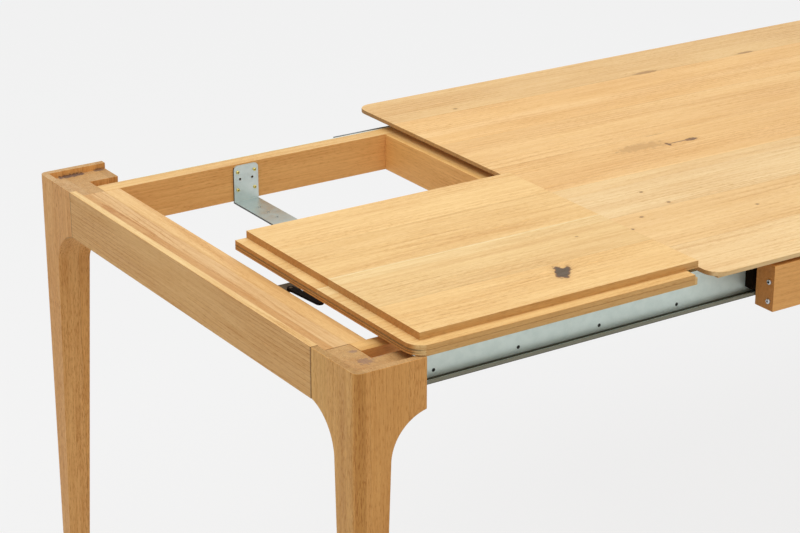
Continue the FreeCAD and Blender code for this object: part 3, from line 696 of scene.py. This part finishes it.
boardDraw = {
    "easeSegments": 2,
    "shift": 0.37,        # where the first board's staves begin, and the step to the next board's
    "shiftStep": 0.21,
    "seed": 1.3,
    "seedStep": 3.71,
}

# heights of the faces that carry knots and stains
topLevel = 0.760
leafLevel = 0.7794
legLevel = 0.7406

# kinds of knot and stain
filledKnot = {"core": (0.090, 0.054, 0.027, 1), "rim": (0.170, 0.068, 0.022, 1), "strength": 1.0,
              "jag": 1.1, "deep": 0.012}
crack = {"core": (0.120, 0.058, 0.022, 1), "rim": (0.380, 0.190, 0.060, 1), "strength": 0.85,
         "jag": 1.5, "deep": 0.012}
pinKnot = dict(crack, core=(0.230, 0.115, 0.042, 1), strength=0.8, jag=1.1, ragged=320)
soundKnot = {"core": (0.330, 0.175, 0.060, 1), "rim": (0.450, 0.250, 0.085, 1), "strength": 0.6,
             "jag": 1.0, "deep": 0.012}
swirl = {"core": (0.510, 0.285, 0.100, 1), "rim": (0.600, 0.350, 0.125, 1), "strength": 0.5,
         "jag": 2.4, "deep": 0.012}
stain = {"core": (0.150, 0.085, 0.055, 1), "rim": (0.320, 0.180, 0.100, 1), "strength": 0.7, "jag": 2.6}
faintStain = dict(stain, core=(0.260, 0.130, 0.085, 1), rim=(0.380, 0.215, 0.125, 1), strength=0.36, jag=3.6)

# size is the half length along the fibres and the half width, ragged the scale of the ragged edge
boardMarks = {
    "laid_leaf_upper_half": [
        dict(filledKnot, at=(-0.797, -0.406, leafLevel), size=(0.0212, 0.0098), turn=55, bite=0.6,
             ragged=150),
        dict(soundKnot, at=(-0.690, -0.300, leafLevel), size=(0.0030, 0.0018), ragged=400),
    ],
    "main_top": [
        dict(soundKnot, at=(-0.004, 0.379, topLevel), size=(0.026, 0.006), ragged=110, strength=0.55),
        dict(soundKnot, at=(0.248, 0.3785, topLevel), size=(0.019, 0.0042), ragged=120),
        dict(crack, at=(-0.232, 0.070, topLevel), size=(0.020, 0.0009), ragged=140, strength=0.35),
        dict(swirl, at=(-0.296, 0.030, topLevel), size=(0.046, 0.015), ragged=90),
        dict(crack, at=(-0.196, 0.016, topLevel), size=(0.012, 0.0055), ragged=170),
        dict(crack, at=(-0.223, 0.017, topLevel), size=(0.024, 0.0016), ragged=120, strength=0.6),
        dict(crack, at=(-0.247, 0.016, topLevel), size=(0.0030, 0.0085), ragged=190),
        dict(pinKnot, at=(-0.444, -0.153, topLevel), size=(0.0034, 0.0026)),
        dict(pinKnot, at=(-0.437, -0.215, topLevel), size=(0.0032, 0.0030)),
        dict(pinKnot, at=(-0.518, -0.246, topLevel), size=(0.0036, 0.0026)),
        dict(pinKnot, at=(-0.567, -0.282, topLevel), size=(0.0046, 0.0028)),
        dict(pinKnot, at=(-0.324, -0.301, topLevel), size=(0.0028, 0.0024)),
        dict(soundKnot, at=(-0.440, 0.388, topLevel), size=(0.004, 0.003), ragged=300),
        dict(soundKnot, at=(0.420, -0.180, topLevel), size=(0.010, 0.006), ragged=220),
        dict(filledKnot, at=(0.860, 0.210, topLevel), size=(0.012, 0.009), turn=40, ragged=160),
    ],
    "left_leg_far": [
        dict(stain, at=(-1.164, 0.4845, legLevel), size=(0.003, 0.022), deep=0.0060, ragged=170),
        dict(stain, at=(-1.112, 0.4860, legLevel), size=(0.003, 0.009), deep=0.0040, ragged=240,
             strength=0.5),
    ],
    "left_leg_near": [
        dict(faintStain, at=(-1.164, -0.409, legLevel), size=(0.003, 0.006), deep=0.004, ragged=240),
        dict(faintStain, at=(-1.166, -0.446, legLevel), size=(0.003, 0.010), deep=0.009, ragged=200),
        dict(faintStain, at=(-1.140, -0.437, legLevel), size=(0.003, 0.011), deep=0.006, ragged=200),
        dict(faintStain, at=(-1.118, -0.430, legLevel), size=(0.003, 0.007), deep=0.006, ragged=240),
    ],
}

# bands: axis, where they start and end along it, half width of their soft edges, tone
# painted highlight along the apron's rounded front edge
rimHighlightTone = (1.05, 1.16, 1.34, 1)
brownTone = (0.83, 0.76, 0.735, 1)
innerTone = (0.83, 0.82, 0.90, 1)
# painted shade on the leaf's near side faces: the outer face and the core's face set back under the lip
sideShadeTone = (0.88, 0.76, 0.62, 1)
coreFaceShadeTone = (0.84, 0.73, 0.60, 1)
leafSide = ("Y", -0.520, -0.4985, 0.0004, sideShadeTone)
apronBands = [
    ("X", -1.2148, -1.204, 0.0010, rimHighlightTone),
    ("X", -1.204, -1.177, 0.0014, brownTone),
    ("X", -1.177, -1.080, 0.0014, innerTone),
]
boardBands = {
    "laid_leaf_upper_half": [
        ("Y", -0.270, -0.241, 0.0010, (1.03, 1.08, 1.16, 1)),
        ("Y", -0.2445, -0.2395, 0.0008, (1.05, 1.12, 1.25, 1)),
        ("Y", -0.290, -0.284, 0.0030, (0.92, 0.86, 0.80, 1)),
        leafSide,
        ("Y", -0.4806, -0.4795, 0.0003, coreFaceShadeTone),
    ],
    "laid_leaf_lower_half": [leafSide],
    "main_top": [
        ("Y", 0.276, 0.300, 0.0040, (1.04, 1.09, 1.20, 1)),
        ("Y", -0.069, -0.006, 0.0020, (0.96, 0.93, 0.90, 1)),
        ("Y", -0.112, -0.069, 0.0030, (1.03, 1.07, 1.14, 1)),
        ("Y", -0.520, -0.112, 0.0006, (1.05, 1.13, 1.28, 1)),
    ],
    "left_end_apron": apronBands,
    "right_end_apron": [(axis, -high, -low, soft, tone) for axis, low, high, soft, tone in apronBands],
    "left_leg_near": [
        ("X", -1.2200, -1.2154, 0.0003, (0.96, 1.04, 1.08, 1)),
        ("X", -1.2145, -1.1990, 0.0015, (0.79, 0.74, 0.60, 1)),
        ("Y", -0.425, -0.380, 0.0040, (1.05, 1.11, 1.17, 1)),
        ("Y", -0.472, -0.455, 0.0040, (0.94, 0.91, 0.88, 1)),
    ],
}

# layers: height, half width, darkness
# painted shade in the gap where the two leaf halves meet
foldShadeLine = (0.7602, 0.0012, 0.66)
plyLine = (0.7560, 0.0007, 0.55)
boardLayers = {
    "laid_leaf_upper_half": [foldShadeLine],
    "laid_leaf_lower_half": [foldShadeLine, plyLine],
}


def kindIn(kinds, node):
    # the first kind that the node's name holds
    return next((kind for kind in kinds if kind in node), None)


oakNodes = sorted(node for node in nodes if slotOf[node] == "oak")
for order, node in enumerate(oakNodes):
    board = dict(boardPlain)
    board["shift"] = boardDraw["shift"] + order * boardDraw["shiftStep"]
    board["seed"] = order * boardDraw["seedStep"] + boardDraw["seed"]
    board.update(boardSet[kindIn(boardSet, node)])
    board["marks"] = boardMarks.get(node, [])
    board["bands"] = boardBands.get(node, [])
    board["layers"] = boardLayers.get(node, [])
    depth = "XYZ".index(depthAxis(board["grain"]))
    low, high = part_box(node)
    board["level"] = (low[depth] + high[depth]) / 2
    mesh = easedCopy(node, board["ease"], boardDraw["easeSegments"])
    settle(node, mesh, oakPaint(pieceName(node) + "Oak", board))
print("oak boards:", len(oakNodes))


# Steel sheet, runners and moulded parts

sheetSet = {
    "tray_strap": {"ease": 0.0003, "segments": 1, "paint": "strap"},
    "channel_near": {"ease": 0.0003, "segments": 1, "paint": "channel"},
    "channel_far": {"ease": 0.0003, "segments": 1, "paint": "channel"},
    "middle_runner": {"ease": 0.0006, "segments": 2, "paint": "runner_steel"},
    "fixed_runner": {"ease": 0.0006, "segments": 2, "paint": "runner_steel"},
    "lock_plate": {"ease": 0.0003, "segments": 1, "paint": "dark_steel"},
    "runner_caps": {"ease": 0.0014, "segments": 3, "paint": "black_plastic"},
    "lock_lever": {"ease": 0.0020, "segments": 4, "paint": "black_plastic"},
    "floor_glides": {"ease": 0.0012, "segments": 3, "paint": "black_plastic"},
}
for node in sorted(nodes):
    kind = kindIn(sheetSet, node)
    if kind:
        sheet = sheetSet[kind]
        settle(node, easedCopy(node, sheet["ease"], sheet["segments"]), paints[sheet["paint"]])
print("steel and moulded pieces ready")


# Screws: heads with a cross recess, set where the solids have theirs

screwSet = {
    "strap_screws": {"head": 0.0029, "height": 0.0024, "dome": 0.0012, "paint": "yellow_zinc"},
    "stop_screws": {"head": 0.0043, "height": 0.0032, "dome": 0.0016, "paint": "zinc"},
    "lock_screws": {"head": 0.0043, "height": 0.0024, "dome": 0.0014, "paint": "zinc"},
}
screwPlain = {
    "headSides": 32,
    "domeSteps": 5,
    "shank": 0.0019,
    "shankTip": 0.55,            # share of the shank's radius
    "shankSides": 20,
    "shankSink": 0.00005,        # how far the shank goes into the head
    "barLength": 0.60,           # shares of the head
    "barWidth": 0.20,
    "barDepth": 0.0016,
    "barFoot": (0.55, 0.7, 1),   # the recess narrows downwards
    "darkReach": 0.62,           # share of the head's radius
    "darkBelow": 0.00004,
    "firstTurn": 17,             # degrees
    "nextTurn": 41,
    "weld": 0.00001,
    "endReach": 0.0003,
}


def addToScene(name, mesh):
    data = bpy.data.meshes.new(name)
    mesh.to_mesh(data)
    mesh.free()
    thing = bpy.data.objects.new(name, data)
    scene.collection.objects.link(thing)
    return thing


def recessBar(s, turn):
    # one bar of the cross, which is cut out of the head
    plain = screwPlain
    wide = s["head"] * 2
    size = (wide * plain["barLength"], wide * plain["barWidth"], plain["barDepth"] * 2)
    bar = bmesh.new()
    bmesh.ops.create_cube(bar, size=1)
    bmesh.ops.scale(bar, verts=bar.verts, vec=size)
    foot = [vert for vert in bar.verts if vert.co.z < 0]
    bmesh.ops.scale(bar, verts=foot, vec=plain["barFoot"])
    bmesh.ops.rotate(bar, verts=bar.verts, matrix=Matrix.Rotation(math.radians(turn), 3, "Z"))
    bmesh.ops.translate(bar, verts=bar.verts, vec=(0, 0, s["height"]))
    return addToScene("crossBar", bar)


def screwMesh(s, length):
    # head up the Z axis with its seat at zero, shank below
    plain = screwPlain
    mesh = bmesh.new()
    head = bmesh.ops.create_cone(mesh, cap_ends=True, segments=plain["headSides"], radius1=s["head"],
                                 radius2=s["head"], depth=s["height"])
    bmesh.ops.translate(mesh, verts=head["verts"], vec=(0, 0, s["height"] / 2))
    rim = [edge for edge in mesh.edges if all(vert.co.z > s["height"] / 2 for vert in edge.verts)]
    bmesh.ops.bevel(mesh, geom=rim, offset=s["dome"], offset_type="OFFSET", affect="EDGES",
                    segments=plain["domeSteps"], profile=0.5, material=-1, clamp_overlap=True)
    tip = plain["shank"] * plain["shankTip"]
    shank = bmesh.ops.create_cone(mesh, cap_ends=True, segments=plain["shankSides"], radius1=tip,
                                  radius2=plain["shank"], depth=length)
    bmesh.ops.translate(mesh, verts=shank["verts"], vec=(0, 0, plain["shankSink"] - length / 2))
    blank = addToScene("screwBlank", mesh)
    cutters = [recessBar(s, turn) for turn in (0, 90)]
    for cutter in cutters:
        carve = blank.modifiers.new("recess", "BOOLEAN")
        carve.operation = "DIFFERENCE"
        carve.object = cutter
        carve.solver = "EXACT"
    bpy.context.view_layer.update()
    graph = bpy.context.evaluated_depsgraph_get()
    carved = bpy.data.meshes.new_from_object(blank.evaluated_get(graph))
    for spare in [blank] + cutters:
        bpy.data.objects.remove(spare)
    # painted shade: the faces inside the recess take the dark screw paint
    for face in carved.polygons:
        across = math.hypot(face.center.x, face.center.y)
        below = 0 < face.center.z < s["height"] - plain["darkBelow"]
        inside = across < s["head"] * plain["darkReach"] and below
        face.material_index = 1 if inside else 0
    return carved


def islands(mesh):
    # the corners of each separate solid in the mesh
    mesh.verts.index_update()
    seen = set()
    for vert in mesh.verts:
        if vert.index in seen:
            continue
        island = [vert]
        seen.add(vert.index)
        for member in island:
            for edge in member.link_edges:
                other = edge.other_vert(member)
                if other.index not in seen:
                    seen.add(other.index)
                    island.append(other)
        yield [member.co for member in island]


def screwPlaces(node):
    # each screw's own solid tells where its head is and which way it points
    mesh = bmesh.new()
    mesh.from_mesh(nodes[node].data)
    bmesh.ops.remove_doubles(mesh, verts=mesh.verts, dist=screwPlain["weld"])
    for corners in islands(mesh):
        low = Vector([min(co[axis] for co in corners) for axis in range(3)])
        high = Vector([max(co[axis] for co in corners) for axis in range(3)])
        run = max(range(3), key=lambda axis: high[axis] - low[axis])
        line = Vector([1.0 if axis == run else 0.0 for axis in range(3)])
        centre = (low + high) / 2
        wide = {}
        for sign, end in ((1, high[run]), (-1, low[run])):
            rim = [co for co in corners if abs(co[run] - end) < screwPlain["endReach"]]
            wide[sign] = max((co - centre).cross(line).length for co in rim)
        point = line if wide[1] > wide[-1] else -line
        whole = high[run] - low[run]
        yield centre + point * (whole / 2), point, whole
    mesh.free()


for node in sorted(nodes):
    kind = kindIn(screwSet, node)
    if not kind:
        continue
    screw = screwSet[kind]
    joined = bmesh.new()
    for count, (top, point, whole) in enumerate(screwPlaces(node)):
        blank = screwMesh(screw, whole - screw["height"])
        degrees = screwPlain["firstTurn"] + screwPlain["nextTurn"] * count
        turn = Matrix.Rotation(math.radians(degrees), 4, "Z")
        aim = point.to_track_quat("Z", "Y").to_matrix().to_4x4()
        blank.transform(Matrix.Translation(top - point * screw["height"]) @ aim @ turn)
        joined.from_mesh(blank)
        bpy.data.meshes.remove(blank)
    settle(node, joined, paints[screw["paint"]], paints["sunk_screw"])
print("screws ready")


# Solids that show as they are: small barrels and sunk screws

shownSet = {"hinge_barrels": "hinge_brass", "channel_screws": "sunk_screw"}
for node in sorted(nodes):
    kind = kindIn(shownSet, node)
    if kind:
        mesh = nodes[node].data
        mesh.materials.clear()
        mesh.materials.append(paints[shownSet[kind]])
print("kept solids painted")


# Floor, sky and the lamp panel

stageSet = {
    "pale": 0.88,           # the sky as the camera sees it
    "sky": 0.59,            # the sky as it lights the table
    "glow": 0.93,           # the floor as the camera sees it
    "floorLit": 0.68,       # what the floor gives back to the table
    "shadow": 0.12,         # share of the lit floor in the picture, and with it the shadow
    "floorReach": 60.0,
    "panelPlace": (-1.0, -0.5, 4.6),
    "panelSize": 4.5,
    "panelPower": 131.0,
}


def seenDirectly(paint):
    rays = paint.node("ShaderNodeLightPath")
    return rays["Is Camera Ray"].higher(rays["Is Glossy Ray"]).higher(rays["Is Transmission Ray"])


def makeFloor(s):
    mesh = bmesh.new()
    bmesh.ops.create_grid(mesh, x_segments=1, y_segments=1, size=s["floorReach"])
    floor = addToScene("paleFloor", mesh)
    paint = Paint("paleFloor")
    grey = [s["floorLit"]] * 3 + [1]
    glow = [s["glow"]] * 3 + [1]
    lit = paint.node("ShaderNodeBsdfDiffuse", None, {"Color": grey})["BSDF"]
    bare = paint.node("ShaderNodeEmission", None, {"Color": glow, "Strength": 1.0})["Emission"]
    sockets = {"Fac": seenDirectly(paint) * (1 - s["shadow"]), "Shader": lit, "Shader_001": bare}
    mixed = paint.node("ShaderNodeMixShader", None, sockets)["Shader"]
    paint.node("ShaderNodeOutputMaterial", None, {"Surface": mixed})
    floor.data.materials.append(paint.material)


def makeSky(s):
    world = bpy.data.worlds.new("paleSky")
    world.use_nodes = True
    scene.world = world
    paint = Paint("skyNodes")
    spare = paint.material
    paint.tree = world.node_tree
    paint.tree.nodes.clear()
    bpy.data.materials.remove(spare)
    strength = s["sky"] + seenDirectly(paint) * (s["pale"] - s["sky"])
    sockets = {"Color": (1, 1, 1, 1), "Strength": strength}
    sky = paint.node("ShaderNodeBackground", None, sockets)["Background"]
    paint.node("ShaderNodeOutputWorld", None, {"Surface": sky})


def makePanel(s):
    data = bpy.data.lights.new("topPanel", "AREA")
    data.shape = "SQUARE"
    data.size = s["panelSize"]
    data.energy = s["panelPower"]
    lamp = bpy.data.objects.new("topPanel", data)
    scene.collection.objects.link(lamp)
    lamp.location = s["panelPlace"]


makeFloor(stageSet)
makeSky(stageSet)
makePanel(stageSet)
print("stage ready")
